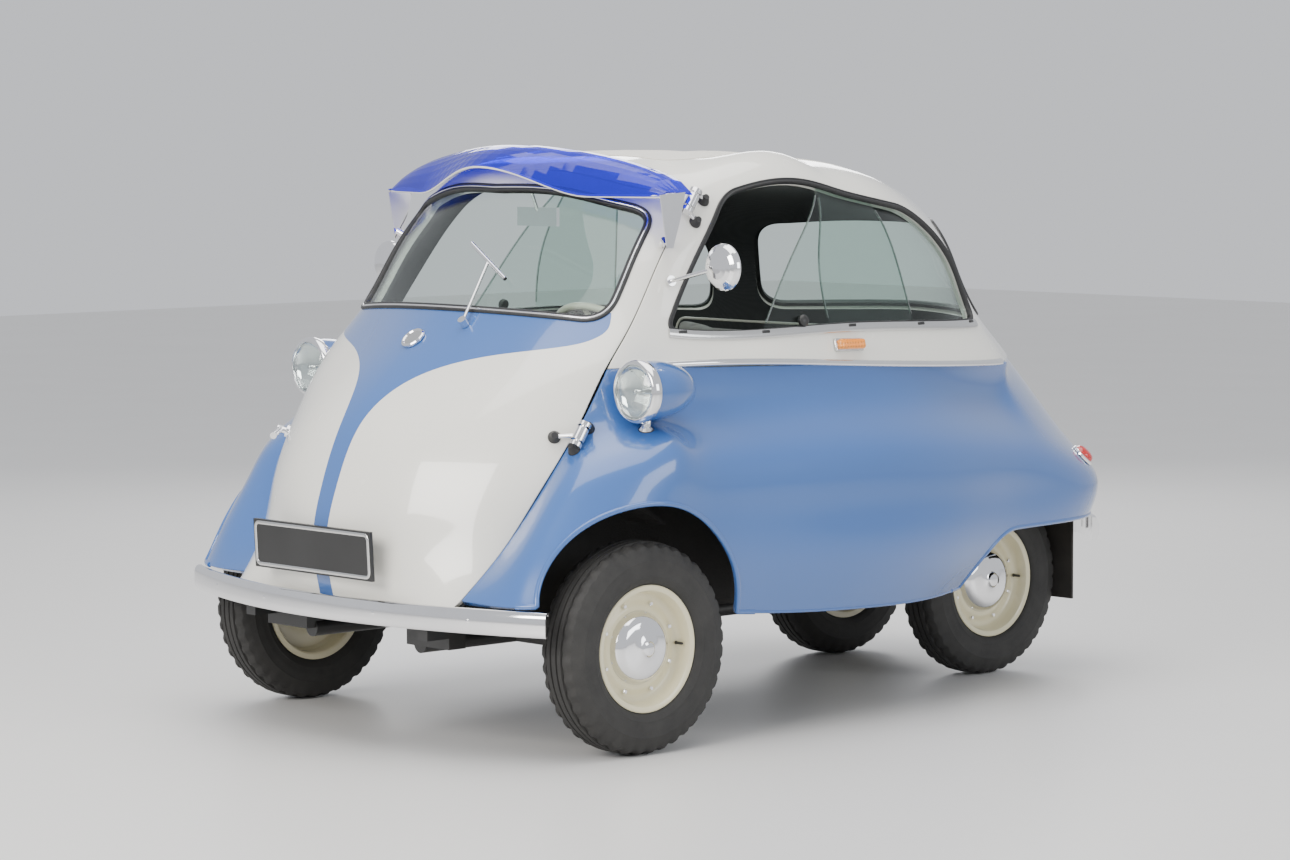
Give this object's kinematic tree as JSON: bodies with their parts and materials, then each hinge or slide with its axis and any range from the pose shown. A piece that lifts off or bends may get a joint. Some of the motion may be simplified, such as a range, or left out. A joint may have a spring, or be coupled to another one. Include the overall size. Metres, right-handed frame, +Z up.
{
  "type": "bubble car",
  "caption": "Small egg-shaped two-tone bubble car with a front-opening door, external sun visor and a narrow rear axle; it rolls and steers.",
  "frame": {"origin": "on the ground, below the middle of the outline", "axes": "+X to the car's left, -Y to its front, +Z up"},
  "size_m": [1.388, 2.2879, 1.3563],
  "materials": {
    "white_paint": "gloss",
    "blue_paint": "gloss",
    "wheel_paint": "gloss",
    "frame_paint": "satin",
    "underbody": "matt",
    "glass": "clear",
    "lens": "ribbed",
    "chrome": "polished",
    "rubber": "satin",
    "mud_rubber": "matt",
    "tyre": "matt",
    "roof_fabric": "woven",
    "amber": "clear amber",
    "red_lens": "clear red",
    "black_plastic": "gloss",
    "cream_plastic": "gloss",
    "visor_acrylic": "clear blue",
    "cast": "rough",
    "seat_cloth": "woven"
  },
  "bodies": {
    "body": {"upper_body": "white_paint", "lower_body": "blue_paint", "side_glass": "glass", "side_window_seals": "rubber", "rear_glass": "glass", "rear_window_seal": "rubber", "sunroof": "roof_fabric", "belt_trim": "chrome", "inner_sides": "underbody", "floor_pan": "underbody", "rear_bulkhead": "underbody", "wheel_liners": "underbody", "headlamp_pods": "blue_paint", "headlamp_rims": "chrome", "headlamp_lenses": "lens", "mirrors": "chrome", "side_indicators": "amber", "tail_lamps": "red_lens", "front_bumper": "chrome", "rear_bumpers": "chrome", "rear_plate": "black_plastic", "body_hinges": "chrome", "chassis": "frame_paint", "engine_block": "cast", "exhaust": "cast", "seat_frame": "frame_paint", "seat_cushion": "seat_cloth", "seat_backrest": "seat_cloth", "lower_column": "frame_paint", "gear_lever": "black_plastic", "mudflaps": "mud_rubber", "pedals": "frame_paint"},
    "door": {"front_door": "white_paint", "windscreen_glass": "glass", "windscreen_seal": "rubber", "front_plate": "black_plastic", "door_badge": "chrome", "wiper": "chrome", "sun_visor": "visor_acrylic", "visor_brackets": "chrome", "door_hinges": "chrome", "door_handle": "chrome", "instrument_pod": "cream_plastic", "interior_mirror": "chrome"},
    "steering": {"steering_wheel": "cream_plastic"},
    "left_knuckle": {"left_knuckle": "cast"},
    "right_knuckle": {"right_knuckle": "cast"},
    "left_wheel": {"left_front_tyre": "tyre", "left_front_rim": "wheel_paint"},
    "right_wheel": {"right_front_tyre": "tyre", "right_front_rim": "wheel_paint"},
    "rear_wheels": {"rear_axle": "cast", "rear_tyres": "tyre", "rear_rims": "wheel_paint"},
    "engine_lid": {"engine_cover": "blue_paint"}
  },
  "joints": [
    {"name": "door_swing", "type": "hinge", "parent": "body", "child": "door", "pos_m": [0.51622, -0.78452, 0.71614], "axis": [-0.0756, 0.6012, 0.7955], "range_deg": [0, 75]},
    {"name": "left_steer", "type": "hinge", "parent": "body", "child": "left_knuckle", "pos_m": [0.505, -0.7005, 0.24], "axis": [0, 0, 1], "range_deg": [-30, 30]},
    {"name": "right_steer", "type": "hinge", "parent": "body", "child": "right_knuckle", "pos_m": [-0.505, -0.7005, 0.24], "axis": [0, 0, 1], "range_deg": [-30, 30]},
    {"name": "steering_turn", "type": "hinge", "parent": "door", "child": "steering", "pos_m": [0.24, -0.3965, 0.85], "axis": [0, 0.7108, 0.7034], "range_deg": [-360, 360]},
    {"name": "left_wheel_spin", "type": "hinge", "parent": "left_knuckle", "child": "left_wheel", "pos_m": [0.6, -0.7005, 0.24], "axis": [1, 0, 0], "continuous": true},
    {"name": "right_wheel_spin", "type": "hinge", "parent": "right_knuckle", "child": "right_wheel", "pos_m": [-0.6, -0.7005, 0.24], "axis": [1, 0, 0], "continuous": true},
    {"name": "rear_wheel_spin", "type": "hinge", "parent": "body", "child": "rear_wheels", "pos_m": [0, 0.7995, 0.24], "axis": [1, 0, 0], "continuous": true},
    {"name": "engine_lid_swing", "type": "hinge", "parent": "body", "child": "engine_lid", "pos_m": [-0.658, 0.33075, 0.52639], "axis": [0.02, 0.03, 0.9993], "range_deg": [0, 70]}
  ],
  "couplings": [
    {"joint": "right_steer", "follows": "left_steer", "ratio": 1},
    {"joint": "steering_turn", "follows": "left_steer", "ratio": 12}
  ]
}
